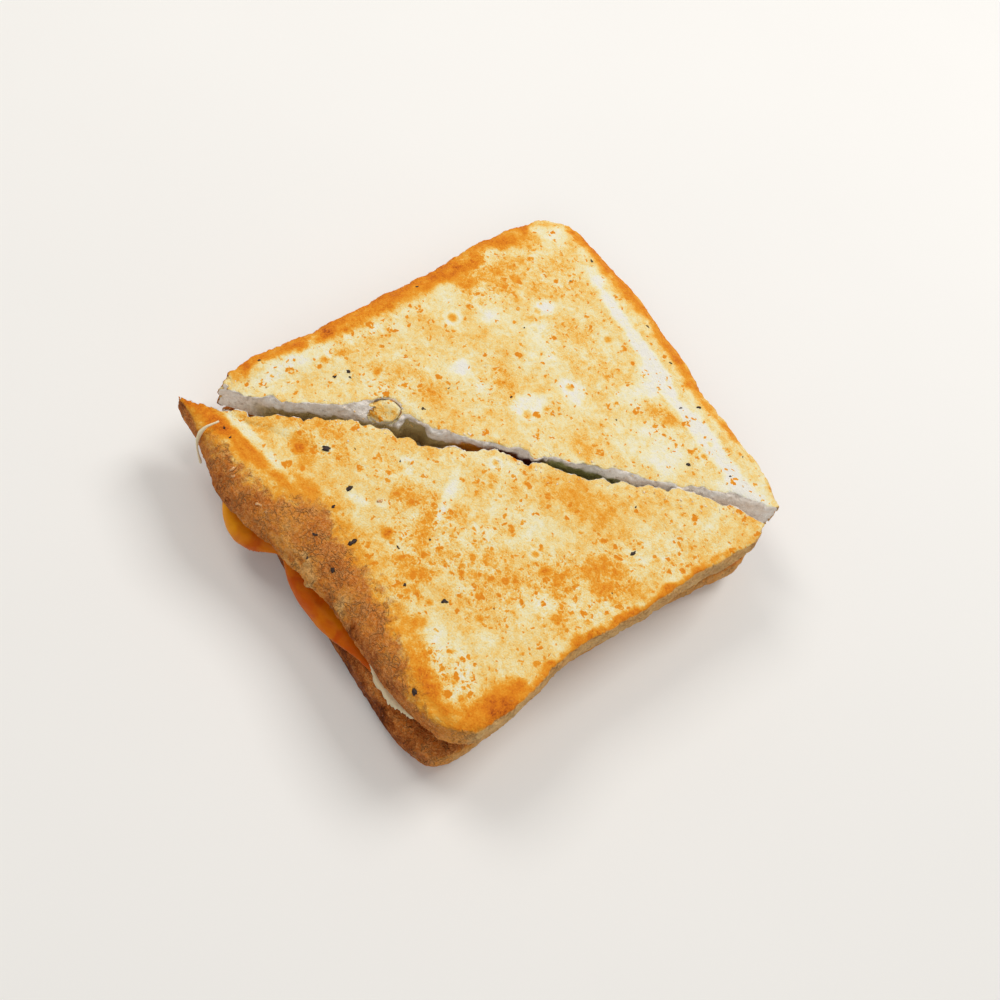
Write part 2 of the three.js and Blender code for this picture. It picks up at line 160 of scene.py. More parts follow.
# ---- fine meshes grown from the frame's solids ------------------------------------------
def fine_mesh(node, size, crease_angle):
    """Rounds the solid, keeps its edges sharper than crease_angle, and remeshes it evenly."""
    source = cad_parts[node].data.copy()
    shape = bmesh.new()
    shape.from_mesh(source)
    bmesh.ops.remove_doubles(shape, verts=shape.verts, dist=ROUNDING["merge"] * MM)
    crease = shape.edges.layers.float.new("crease_edge")
    corner = shape.verts.layers.float.new("crease_vert")
    for edge in shape.edges:
        if len(edge.link_faces) == 2 and edge.calc_face_angle() > crease_angle:
            edge[crease] = 1.0
            for end in edge.verts:
                end[corner] = ROUNDING["corner"]
    shape.to_mesh(source)
    shape.free()
    body = bpy.data.objects.new(node + "_blank", source)
    bpy.context.scene.collection.objects.link(body)
    rounding = body.modifiers.new("rounding", "SUBSURF")
    rounding.levels = ROUNDING["levels"]
    even = body.modifiers.new("even", "REMESH")
    even.mode = "VOXEL"
    even.voxel_size = size * MM
    relaxed = body.modifiers.new("relaxed", "SMOOTH")
    relaxed.factor = ROUNDING["relax"]
    relaxed.iterations = ROUNDING["passes"]
    shaped = body.evaluated_get(bpy.context.evaluated_depsgraph_get())
    grown = bpy.data.meshes.new_from_object(shaped)
    bpy.data.objects.remove(body)
    bpy.data.meshes.remove(source)
    return grown


def read_vectors(mesh, what):
    flat = np.empty(len(mesh.vertices) * 3)
    mesh.vertices.foreach_get(what, flat)
    return flat.reshape(-1, 3)


def read_points(mesh):
    """Places of the vertices in mm."""
    return read_vectors(mesh, "co") / MM


def read_normals(mesh):
    return read_vectors(mesh, "normal")


def write_points(mesh, points):
    mesh.vertices.foreach_set("co", (points * MM).ravel())
    mesh.update()


def paint(mesh, **fields):
    """Keeps each field, a share from 0 to 1 at each vertex, for the materials to read."""
    for name, values in fields.items():
        layer = mesh.attributes.new(name, "FLOAT", "POINT")
        layer.data.foreach_set("value", np.clip(values, 0, 1).astype(np.float32))


def finish_piece(name, mesh, material, record_slot, *nodes):
    """Makes the piece, which rides on the body and stands for its nodes, if it has any."""
    piece = bpy.data.objects.new(name, mesh)
    bpy.context.scene.collection.objects.link(piece)
    mesh.materials.clear()
    mesh.materials.append(material)
    mesh.shade_smooth()
    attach(piece, "root")
    if nodes:
        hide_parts(*nodes)
    return piece


# ---- patches of toasting: x, y, half length, half width (mm), turn (degrees), strength ---
BACK_TOAST = [
    (-50, 33, 9, 5, 85, 0.24), (-53, 54, 6, 4, 45, 0.20), (-46, 24, 8, 5, 60, 0.12),
    (-36, 46, 7, 4, 30, 0.14), (-41, 57, 8, 3.5, 15, 0.12), (-48, 44, 12, 8, 90, 0.10),
    (-22, 46, 8, 5, 0, 0.06), (15, 50.5, 6, 3.2, 15, 0.16), (22, 55, 10, 5, 20, 0.06),
    (12, 22, 4, 3.4, 0, 0.22), (8, 23.5, 3, 2, 0, 0.12), (-13, 15, 4.5, 3.5, -30, 0.15),
    (-17, 17, 4, 3, 0, 0.10), (-9, 7, 6, 4, -40, 0.13), (-22, -2, 7, 4, -30, 0.12),
    (-34, -9, 6, 4, 60, 0.17), (-50, -17, 8, 3, 10, 0.12), (-42, -4, 8, 4, 60, 0.08),
    (-31, 43, 4, 3.4, 60, -0.34), (-37, 27, 4.5, 3.5, -40, -0.30), (-6, 18, 5.2, 3.8, 60, -0.30),
    (-26, 9, 3.6, 3, 0, -0.30), (5.5, 54, 6, 4, -30, -0.28), (6, 46, 5, 3.5, -30, -0.20),
    (24, 43, 10, 6, -30, -0.20), (-4, 33, 5, 4, 0, -0.22), (-20, 34, 10, 5, -30, -0.12),
    (-50, 8, 9, 5, 90, -0.10), (-47, -36, 8, 5, 80, -0.16), (33, 48, 5, 4, 0, -0.10),
    (45, 54, 9, 3.4, 48, -0.22), (-8, 60.8, 24, 2.8, -6, -0.46), (28, 56.5, 26, 3.4, -3, -0.44),
    (-33, 64.6, 6, 2.2, -8, -0.22), (-52, 63.5, 6, 4.5, 30, -0.24), (-49, -20, 24, 2.6, 89, -0.14),
]
FRONT_TOAST = [
    (13, -31, 15, 4.5, -48, 0.14), (-3, -25, 6, 4, -20, 0.13), (-28, -32, 5, 4, 45, 0.12),
    (-27, -42, 7, 3.2, 0, 0.22), (-34, -38, 6, 3, 45, 0.14), (6, -36.5, 3.4, 1.8, 0, 0.22),
    (16, -36, 5, 3, 20, 0.14), (42, 4, 7, 5, 70, 0.11), (43, -3, 9, 7, 60, 0.09),
    (36, -9, 5, 4, 90, 0.11), (47, -14, 6, 4, 30, 0.13), (52, 8, 8, 3, 90, 0.12),
    (29, 14, 12, 8, 20, 0.17), (44, -43.5, 8, 5.5, 0, -0.24), (36, -41, 6, 3, -15, -0.10),
    (6, -19, 9, 1.7, -55, -0.28), (6, 0, 6, 3, 45, -0.16), (24, -1, 10, 5, 10, -0.06),
    (20, -14, 9, 5, 0, -0.06), (47, 31, 6, 4, 45, -0.08), (-7, -38, 5, 2.2, 20, -0.22),
    (-2, -33, 2.4, 1.4, 60, -0.26), (-35, -50.9, 18, 1.7, 7, -0.30),
    (55.4, -44, 12, 3.6, 92, 0.20), (34, -47.4, 17, 2.6, -10, 0.26),
    (-36, -54.4, 24, 2.5, 9, 0.40), (8, -40.5, 16, 3.0, -6, 0.12), (-18, -48.5, 8, 2.4, 24, 0.24),
]
FRECKLED = [
    (-48, 35, 14, 12, 90, 0.55), (-40, 54, 14, 7, 20, 0.40), (-15, 45, 18, 8, 0, 0.20),
    (-14, 14, 8, 6, 0, 0.30), (-30, -8, 14, 8, 45, 0.35), (20, 50, 14, 7, 10, 0.25),
    (-50, -15, 20, 6, 90, 0.30), (13, -31, 17, 8, -48, 0.62), (43, -5, 16, 12, 60, 0.70),
    (-3, -25, 10, 6, 0, 0.40), (-27, -38, 12, 7, 20, 0.35), (42, -44, 10, 6, 0, 0.55),
    (15, -10, 25, 12, -30, 0.16), (48, 20, 14, 8, 60, 0.26), (28, -24, 14, 11, 0, 0.42),
]
RIM_TOAST = [                                  # how strongly each stretch of the outer rim browned
    (-58, 8, 62, 10, 90, 0.58), (-10, 68, 48, 9, -3, 0.48), (-56, 65, 6, 6, 0, -0.30),
    (50, 62, 9, 9, 0, -0.25), (57, -8, 50, 8, 90, 0.44), (42, -52, 18, 7, 0, 0.26),
    (-50, -58, 12, 6, 5, 0.30), (57, 50, 8, 8, 0, -0.20),
]
RIM_WIDE = [                                   # and how far in it browned, beyond RIM_LEAST
    (-58, 5, 62, 12, 90, 5.6), (-10, 68, 48, 12, -3, 4.0), (56, -45, 14, 12, 90, 5.0),
    (44, -53, 18, 9, 0, 5.0), (-44, -58, 24, 9, 5, 6.0),
]
RIM_LEAST = 1.8
BULGES = [                                     # where the crust swells out sideways, in mm
    (-24, 69, 34, 12, -2, 1.5), (-54, 66, 9, 9, 0, 0.8),
]
FRAYED = (9, -60, 22, 6.5, -4, 1.0)            # where the skin tore at the foot of the dome
# painted light: this flap of yellow cheese is painted lighter, as where it is lit
FLAP = (-28, -60, 12, 9, 0, 1.0)               # the lighter of the two flaps of yellow cheese
SEAM_OOZE = [                                  # white cheese pressed out of the seam, in mm
    (34, -56, 6, 5, -4, 1.4), (43, -55, 6, 4, 10, 0.7),
]
DOTS = [                                       # fried dots: x, y, radius, 1 with a pale ring
    (-12.7, 52.8, 1.3, 0), (-31, 40.6, 1.1, 1), (30, 56.4, 1.1, 0), (30, -7.8, 1.0, 1),
    (-46, -22.5, 1.3, 0), (-41, 16.8, 1.5, 1), (-2.8, 22, 0.8, 0),
    (-51, -12, 1.4, 0), (26, -38, 0.9, 0), (-4.3, 16, 1.5, 1), (-5.2, 32.2, 1.3, 1),
    (8.6, -6.2, 0.9, 0), (-36, -12, 1.2, 0), (32, 52, 0.9, 1), (3.5, -0.8, 1.0, 1),
    (22, -22, 0.9, 0), (36, -30, 1.0, 0), (24, -27, 1.0, 0), (44.5, -44.8, 2.0, 0),
    (49.4, -45, 1.4, 0), (29, -43, 1.8, 0), (39, -41, 1.0, 0), (5.4, -36.6, 1.6, 0),
    (-26, -42.4, 1.7, 0), (46.5, -14, 1.7, 0), (42, -10, 1.2, 0), (35, -9, 1.4, 0),
]
DOTS_BROWN = 0.30                              # how far the dots stand out from the toasting
RINGS_PALE = 0.18                              # and how much paler their rings are
# Upper edge of the browned dome: its crest, where it starts and stops to drop toward each
# side and by how much, and how far its crust and the golden band above it fade, all in mm.
DOME = {
    "crest": -44.5, "left": (-6, -25, 11.6), "right": (14, 46, 7.5), "tip": (-25, -56, 4.0),
    "wander": 2.0, "crust": (-7.0, 2.0), "golden": (0.5, 7.0),
}
GOLDEN_LEVEL = 0.66                            # least toasting of that golden band
PATCH_EDGE = {"wander": 0.35, "from": 0.45, "to": 1.25}


def patch(plan, spec, wander):
    """How far a spot lies inside a patch, 1 in its middle and 0 outside, with a wandering edge."""
    x, y, long, wide, turn, strength = spec
    angle = math.radians(turn)
    away = plan - np.array([x, y])
    along = away @ np.array([math.cos(angle), math.sin(angle)]) / long
    aside = away @ np.array([-math.sin(angle), math.cos(angle)]) / wide
    reach = np.hypot(along, aside) + PATCH_EDGE["wander"] * wander
    return strength * (1 - ramp(reach, PATCH_EDGE["from"], PATCH_EDGE["to"]))


def patches(points, specs, seed):
    """The patches of one list added up."""
    plan = points[:, :2] - HEART
    flat = points * np.array([1, 1, 0.3])
    wander = rough(flat, 6.0, seed, 3)
    return sum(patch(plan, spec, wander) for spec in specs)


def fried_dots(plan):
    """Small round browned dots, some inside a pale ring where the bread stayed dry."""
    total = np.zeros(len(plan))
    for x, y, radius, ringed in DOTS:
        away = np.linalg.norm(plan - np.array([x, y]), axis=1) / radius
        total += DOTS_BROWN * (1 - ramp(away, 0.4, 1.3))
        total -= RINGS_PALE * ringed * ramp(away, 0.9, 1.3) * (1 - ramp(away, 1.5, 2.3))
    return total


def outer_distance(points, normals, cut):
    """Distance in plan, in mm, from each spot to the nearest crust side of the slice."""
    steep, uncut, one_in = 0.45, 0.2, 7
    side = np.flatnonzero((np.abs(normals[:, 2]) < steep) & (cut < uncut))[::one_in]
    tree = KDTree(len(side))
    for k in side:
        tree.insert((points[k, 0], points[k, 1], 0), int(k))
    tree.balance()
    return np.array([tree.find((x, y, 0))[2] for x, y in points[:, :2]])


def dome_share(plan, wander):
    """Shares of the browned dome, which slopes down at -Y, and of the golden band above it."""
    edge = np.full(len(plan), DOME["crest"])
    for start, end, drop in (DOME["left"], DOME["right"], DOME["tip"]):
        edge -= drop * ramp(np.sign(end) * plan[:, 0], abs(start) * np.sign(start * end), abs(end))
    above = plan[:, 1] - edge + DOME["wander"] * wander
    return 1 - ramp(above, *DOME["crust"]), 1 - ramp(above, *DOME["golden"])


# ---- bread -----------------------------------------------------------------------------
def cut_share(points, normals, outward):
    """1 on the face that the knife left, 0 elsewhere."""
    facing = normals[:, :2] @ ACROSS * outward
    offset = np.abs((points[:, :2] - HEART) @ ACROSS)
    return ramp(facing, 0.30, 0.62) * (1 - ramp(offset, 13, 17))


def sharpened(value):
    """Noise pulled away from 0, so that lumps end in steps instead of slopes."""
    return np.sign(value) * np.abs(value) ** 0.6


def tear_rim(points, outward, top, seed):
    """Pulls the toasted skin at the cut into small teeth that hang over the crumb."""
    plan = points[:, :2] - HEART
    near_top = ramp(points[:, 2], top - 3.4, top - 0.9)
    near_cut = 1 - ramp(plan @ ACROSS * -outward, 5.0, 9.0)
    along = np.stack([plan @ KNIFE, points[:, 2] * 0.25, np.zeros(len(points))], axis=1)
    jagged = 0.35 + 0.9 * ramp(lumps(along, 8.0, seed + 3), -0.5, 0.5)
    coarse = TEETH["coarse"] * sharpened(lumps(along, 3.1, seed))
    tooth = jagged * (coarse + TEETH["fine"] * rough(along, 1.7, seed + 1, 2))
    tooth += TEETH["waves"] * lumps(along, 6.5, seed + 2) + TEETH["overhang"]
    hollow = -TORN["depth"] * near_spot(plan @ KNIFE, TORN) * (1 - near_top) * near_cut
    hollow = hollow * (outward < 0)
    moved = points.copy()
    moved[:, :2] += np.outer((tooth * near_top * near_cut + hollow) * outward, ACROSS)
    worn = WORN["depth"] * ramp(-plan @ KNIFE, WORN["from"], WORN["to"]) * (outward < 0)
    moved[:, :2] += np.outer(worn * (1 + 0.5 * rough(points, 2.5, seed + 4, 2)), KNIFE)
    return moved


def near_spot(along, spot):
    """1 at one place along the cut, fading to 0 at its ends."""
    return 1 - ramp(np.abs(along - spot["along"]), 0.6 * spot["reach"], 1.2 * spot["reach"])


def bread_relief(points, cut, top_face, dome, seed):
    """Height of the surface above its smooth shape, in mm."""
    crust = (1 - cut) * np.maximum(1 - top_face, 0.5 * dome)
    toast = TOAST_RELIEF["grain"] * rough(points, 2.4, seed, 3)
    toast = toast + TOAST_RELIEF["waves"] * rough(points, 11.0, seed + 20, 2)
    drawn = points * np.array([0.7, 1.0, 1.0])
    leather = CRUST_RELIEF["folds"] * np.abs(rough(drawn, 2.4, seed + 40, 2))
    leather = leather + CRUST_RELIEF["pits"] * np.abs(lumps(points, 1.1, seed + 44))
    skin = CRUST_RELIEF["waves"] * rough(points, 6.0, seed + 50, 2) - leather + CRUST_SWELL
    skin -= CRUST_RELIEF["frays"] * frayed(points) * np.abs(rough(points, 1.7, seed + 55, 2))
    crumb = CRUMB_RELIEF["grain"] * rough(points, 1.9, seed + 60, 3)
    crumb = crumb + CRUMB_RELIEF["waves"] * rough(points, 6.0, seed + 70, 2)
    holes = np.zeros(len(points))
    where = cut > 0.05
    flattened = points[where] * np.array([1, 1, 1.3])
    holes[where] = -CRUMB_RELIEF["pores"] * (1 - ramp(pores(flattened, 1.9, seed + 80), 0.18, 0.5))
    return top_face * toast + crust * skin + cut * (crumb + holes)


def crust_tone(normals, points, dome):
    """How deeply each side of the loaf is baked: the dome at -Y most, the flank at +X least."""
    tiny = 1e-6
    length = np.linalg.norm(normals[:, :2], axis=1, keepdims=True)
    flat = normals[:, :2] / np.maximum(length, tiny)
    sides = {"dome": -flat[:, 1], "base": flat[:, 1], "flank": flat[:, 0], "left": -flat[:, 0]}
    share = {name: np.clip(value, 0, 1) ** 2 for name, value in sides.items()}
    tone = sum(CRUST_DEPTH[name] * value for name, value in share.items())
    tone = tone / np.maximum(sum(share.values()), tiny)
    up = ramp(normals[:, 2], 0.25, 0.8) * dome
    tone = tone * (1 - up) + DOME_DEPTH * up + 0.07 * rough(points, 5.0, 91, 2)
    return tone - 0.36 * frayed(points) * ramp(rough(points, 2.4, 93, 3), -0.4, 0.5)


def frayed(points):
    """1 where the skin of the dome tore away at its foot and the paler bread shows."""
    plan = points[:, :2] - HEART
    reach = patch(plan, FRAYED, 0.5 * rough(points, 4.0, 95, 2))
    return reach * ramp(points[:, 2] - SEAM, -2.0, 0.5)


def cut_filling(points, low, high, seed):
    """How far the cut below its dry upper edge is painted with cheese colour and painted shade, and
    which colour, 0 to 1.

    From the left end to the right it is khaki, orange cheese, a deep red-brown painted shadow and
    olive painted shade, as in the crumb's colours.
    """
    plan = points[:, :2] - HEART
    wander = rough(points, 3.5, seed, 3)
    along = plan @ KNIFE
    dry = CUT_DRY["left"] + (CUT_DRY["middle"] - CUT_DRY["left"]) * ramp(along, -14, -6)
    dry += (CUT_DRY["right"] - CUT_DRY["middle"]) * ramp(along, 22, 34)
    dry -= 2.4 * near_spot(along, TORN) + 1.0 * near_spot(along, THINNER)
    # painted shade: below its dry edge the cut is painted with cheese colour and shade, as deep in
    # the gap
    smear = ramp(high - points[:, 2] + 1.0 * wander, dry, dry + 1.2)
    along = along + 1.5 * wander
    # along the cut: khaki, orange cheese, a deep red-brown painted shadow, then olive painted shade
    kind = 0.32 * ramp(along, -15, -9) + 0.36 * ramp(along, 0, 3) + 0.32 * ramp(along, 12, 17)
    return smear * ramp(along, -66, -58) * (1 - ramp(along, 34, 46)), kind


def ragged_sides(points, normals, seed):
    """Frays the outline of a torn flake."""
    ragged = points.copy()
    fray = 0.5 * rough(points * np.array([1, 1, 0.2]), 1.9, seed, 2)
    ragged[:, :2] += normals[:, :2] * fray[:, None]
    return ragged


def bread_slice(name, node, outward, toast, base, size, seed, shown_face=False, flake=False):
    """A slice of one half: outward is 1 for the front half and -1 for the back half."""
    mesh = fine_mesh(node, size, BREAD_CREASE)
    points, normals = read_points(mesh), read_normals(mesh)
    low, high = points[:, 2].min(), points[:, 2].max()
    if flake or shown_face:
        points = (ragged_sides(points, normals, seed) if flake
                  else tear_rim(points, outward, high, seed))
        write_points(mesh, points)
        normals = read_normals(mesh)
    cut = (1 - ramp(normals[:, 2], -0.2, 0.15) if flake
           else cut_share(points, normals, outward))
    plan = points[:, :2] - HEART
    wander = rough(points * np.array([1, 1, 0.3]), 4.0, seed + 2, 3)
    dome, golden = np.ones(len(points)), np.zeros(len(points))
    if shown_face:
        dome, golden = (share * (outward > 0) for share in dome_share(plan, wander))
    top_face = ramp(normals[:, 2], 0.55, 0.85) * (1 - cut)
    points = points + normals * bread_relief(points, cut, top_face, dome, seed)[:, None]
    if outward < 0 and shown_face:
        swell = patches(points, BULGES, seed + 12) * (1 - cut)
        points[:, :2] += normals[:, :2] * swell[:, None]
    points[:, 2] = np.clip(points[:, 2], low, high + 0.2)
    write_points(mesh, points)

    rim_wide = RIM_LEAST + patches(points, RIM_WIDE, seed + 4)
    inward = outer_distance(points, normals, cut) + 1.1 * wander
    rim = 1 - ramp(inward, 0.6 * rim_wide, 1.4 * rim_wide)
    level = base + patches(points, toast, seed + 5) + fried_dots(plan)
    rim_toast = np.clip(patches(points, RIM_TOAST, seed + 8), 0, 0.5)
    level += rim * rim_toast + 0.05 * rough(points, 9.0, seed + 6, 3)
    level = np.maximum(level, golden * (GOLDEN_LEVEL + 0.10 * wander))
    freckle = FRECKLES + patches(points, FRECKLED, seed + 9)
    sides = 1 - ramp(normals[:, 2], 0.30, 0.62)
    crust = np.maximum(sides, dome * (normals[:, 2] > -0.5)) * (1 - cut)
    if flake:
        crust, level = np.zeros(len(points)), level + 0.22 * lumps(points, 2.2, seed)
    # painted shade: the crust of the bottom slices is painted darker, as under the top slices
    tone = crust_tone(normals, points, dome) + (0 if shown_face else LOWER_DEEPER)
    # painted shade and cheese colour on the lower cut face
    smear, kind = cut_filling(points, low, high, seed + 11)
    paint(mesh, toast=level, freckle=freckle, crumb=cut, crust=crust, tone=tone,
          smear=smear, filling=kind)
    return finish_piece(name, mesh, TOASTED_BREAD, "toasted_bread", node)


# ---- cheese ----------------------------------------------------------------------------
def melted_sheet(name, node, material, record_slot, size, seed, oozes=()):
    """A sheet of molten cheese, painted lighter below the seam: at its thin lower tips, and as
    painted light on the lit flap.
    """
    mesh = fine_mesh(node, size, MELT_CREASE)
    points, normals = read_points(mesh), read_normals(mesh)
    swell = 0.12 * rough(points, 5.0, seed, 2) + 0.05 * rough(points, 1.6, seed + 4, 2)
    side = 1 - np.abs(normals[:, 2])
    ooze = side * patches(points, oozes, seed + 9) * (1 + 0.8 * rough(points, 2.6, seed + 6, 2))
    most = 3.0
    points = points + normals * (swell + np.clip(ooze, 0, most))[:, None]
    write_points(mesh, points)
    low = points[:, 2].min()
    # painted light: this flap is painted lighter as lit, and the thin tips below the seam are mixed
    # toward the light colour too
    hanging = patch(points[:, :2] - HEART, FLAP, np.zeros(len(points)))
    tips = 1 - ramp(points[:, 2], low, low + 2.2)
    paint(mesh, thin=np.maximum(tips, hanging) * ramp(SEAM - points[:, 2], 0.5, 3.0))
    return finish_piece(name, mesh, material, record_slot, node)


# ---- shader groups ---------------------------------------------------------------------
def linear(red, green, blue):
    """A screen colour (0 to 255) as the light value that a shader takes."""
    def channel(v):
        v = v / 255
        return v / 12.92 if v <= 0.04045 else ((v + 0.055) / 1.055) ** 2.4
    return (channel(red), channel(green), channel(blue), 1.0)


class Sheet:
    """A small helper that adds nodes and links to one node tree."""

    def __init__(self, tree):
        self.tree = tree

    def node(self, kind, **settings):
        made = self.tree.nodes.new(kind)
        for key, value in settings.items():
            setattr(made, key, value)
        return made

    def link(self, source, target):
        self.tree.links.new(source, target)

    def feed(self, socket, value):
        if isinstance(value, bpy.types.NodeSocket):
            self.link(value, socket)
        else:
            socket.default_value = value

    def math(self, operation, a, b=0.0, clamp=False):
        made = self.node("ShaderNodeMath", operation=operation, use_clamp=clamp)
        self.feed(made.inputs[0], a)
        self.feed(made.inputs[1], b)
        return made.outputs[0]

    def noise(self, where, scale, detail=3.0, roughness=0.55, distortion=0.0):
        made = self.node("ShaderNodeTexNoise")
        self.link(where, made.inputs["Vector"])
        self.feed(made.inputs["Scale"], scale)
        made.inputs["Detail"].default_value = detail
        made.inputs["Roughness"].default_value = roughness
        made.inputs["Distortion"].default_value = distortion
        return made.outputs["Fac"]

    def cells(self, where, scale, feature="F1"):
        made = self.node("ShaderNodeTexVoronoi", feature=feature)
        self.link(where, made.inputs["Vector"])
        self.feed(made.inputs["Scale"], scale)
        return made.outputs["Distance"]

    def stirred(self, where, scale, amount):
        """The place, pushed about by noise so that cells and lines lose their straight sides."""
        stir = self.node("ShaderNodeTexNoise")
        self.link(where, stir.inputs["Vector"])
        stir.inputs["Scale"].default_value = scale
        reach = self.node("ShaderNodeVectorMath", operation="SCALE")
        self.link(stir.outputs["Color"], reach.inputs[0])
        reach.inputs["Scale"].default_value = amount
        moved = self.node("ShaderNodeVectorMath", operation="ADD")
        self.link(where, moved.inputs[0])
        self.link(reach.outputs[0], moved.inputs[1])
        return moved.outputs[0]

    def speckles(self, where, scale, share, widest, warp):
        """Round spots of mixed size, one to a cell, in about `share` of the cells."""
        made = self.node("ShaderNodeTexVoronoi", feature="F1")
        self.link(where, made.inputs["Vector"])
        self.feed(made.inputs["Scale"], scale)
        parts = self.node("ShaderNodeSeparateColor")
        self.link(made.outputs["Color"], parts.inputs[0])
        chance = parts.outputs[0]
        bar = self.math("SUBTRACT", 1.0, share)
        size = self.math("MULTIPLY", self.math("ADD", parts.outputs[1], 0.5), widest / 1.5)
        push = self.math("MULTIPLY", self.math("SUBTRACT", warp, 0.5), 0.7)
        away = self.math("ADD", made.outputs["Distance"], push)
        spot = self.range(away, size, self.math("MULTIPLY", size, 0.66))
        return self.math("MULTIPLY", spot, self.math("GREATER_THAN", chance, bar))

    def range(self, value, low, high, to_low=0.0, to_high=1.0):
        made = self.node("ShaderNodeMapRange", interpolation_type="SMOOTHSTEP")
        self.feed(made.inputs["Value"], value)
        limits = {"From Min": low, "From Max": high, "To Min": to_low, "To Max": to_high}
        for key, number in limits.items():
            self.feed(made.inputs[key], number)
        return made.outputs[0]

    def blend(self, share, a, b):
        made = self.node("ShaderNodeMix", data_type="RGBA", blend_type="MIX")
        self.feed(made.inputs["Factor"], share)
        self.feed(made.inputs["A"], a)
        self.feed(made.inputs["B"], b)
        return made.outputs["Result"]

    def colours(self, value, stops):
        made = self.node("ShaderNodeValToRGB")
        self.link(value, made.inputs["Fac"])
        steps = made.color_ramp.elements
        while len(steps) < len(stops):
            steps.new(0.5)
        for step, (place, colour) in zip(steps, stops):
            step.position = place
            step.color = colour
        return made.outputs["Color"]

    def place(self):
        return self.node("ShaderNodeTexCoord").outputs["Object"]

    def painted(self, name):
        return self.node("ShaderNodeAttribute", attribute_name=name).outputs["Fac"]


def new_group(name, inputs, outputs):
    tree = bpy.data.node_groups.new(name, "ShaderNodeTree")
    for label, kind, value in inputs:
        socket = tree.interface.new_socket(label, in_out="INPUT", socket_type=kind)
        if value is not None:
            socket.default_value = value
    for label, kind in outputs:
        tree.interface.new_socket(label, in_out="OUTPUT", socket_type=kind)
    sheet = Sheet(tree)
    entry = sheet.node("NodeGroupInput").outputs
    leave = sheet.node("NodeGroupOutput").inputs
    return tree, sheet, entry, leave


def toast_group():
    """Colour of griddled bread from a toasting level, with butter-fried freckles and scorch."""
    tree, s, entry, leave = new_group(
        "Griddled face",
        [("Level", "NodeSocketFloat", 0.3), ("Freckles", "NodeSocketFloat", 0.3)],
        [("Color", "NodeSocketColor"), ("Height", "NodeSocketFloat"), ("Gloss", "NodeSocketFloat")],
    )
    where = s.place()
    clouds = s.noise(where, 100, 4, 0.55, 0.5)
    blots = s.noise(where, 300, 4, 0.6, 0.6)
    dots = s.noise(where, 720, 3, 0.6, 0.3)
    grain = s.noise(where, 2300, 2, 0.6)
    swing = s.math("MULTIPLY", s.math("SUBTRACT", clouds, 0.5), 0.65)
    for layer, share in ((blots, 0.60), (dots, 0.5), (grain, 0.55)):
        swing = s.math("ADD", swing, s.math("MULTIPLY", s.math("SUBTRACT", layer, 0.5), share))
    lively = s.range(entry["Freckles"], 0.0, 1.0, 0.75, 1.35)
    level = s.math("ADD", entry["Level"], s.math("MULTIPLY", swing, lively))
    gathered = s.math("POWER", entry["Freckles"], 1.4)
    share = s.math("MULTIPLY", gathered, s.range(clouds, 0.38, 0.62, 0.5, 1.3))
    pulled = s.stirred(where, 480, 0.0030)
    large = s.speckles(pulled, 380, s.math("MULTIPLY", share, 0.8), 0.50, blots)
    small = s.speckles(pulled, 760, s.math("MULTIPLY", share, 1.2), 0.54, dots)
    freckles = (
        (large, 0.86, s.range(dots, 0.26, 0.50)),
        (small, 0.78, s.range(blots, 0.30, 0.52)),
    )
    for spot, browned, share in freckles:
        missing = s.math("MAXIMUM", s.math("SUBTRACT", browned, level), 0.05)
        level = s.math("ADD", level, s.math("MULTIPLY", s.math("MULTIPLY", spot, share), missing))
    deepest, held_back = 0.68, 0.38            # browning slows down past this level
    over = s.math("MAXIMUM", s.math("SUBTRACT", level, deepest), 0.0)
    level = s.math("SUBTRACT", level, s.math("MULTIPLY", over, held_back), clamp=True)
    colour = s.colours(level, [
        (0.00, linear(238, 235, 226)), (0.14, linear(241, 236, 210)), (0.28, linear(242, 230, 182)),
        (0.42, linear(243, 214, 142)), (0.53, linear(243, 196, 106)), (0.63, linear(240, 173, 66)),
        (0.73, linear(236, 154, 42)), (0.82, linear(228, 134, 28)), (0.92, linear(208, 110, 24)),
        (1.00, linear(164, 76, 18)),
    ])
    s.link(colour, leave["Color"])
    height = s.math("ADD", s.math("MULTIPLY", grain, 0.6), s.math("MULTIPLY", dots, 0.7))
    s.link(height, leave["Height"])
    s.link(s.range(clouds, 0.45, 0.7), leave["Gloss"])
    return tree


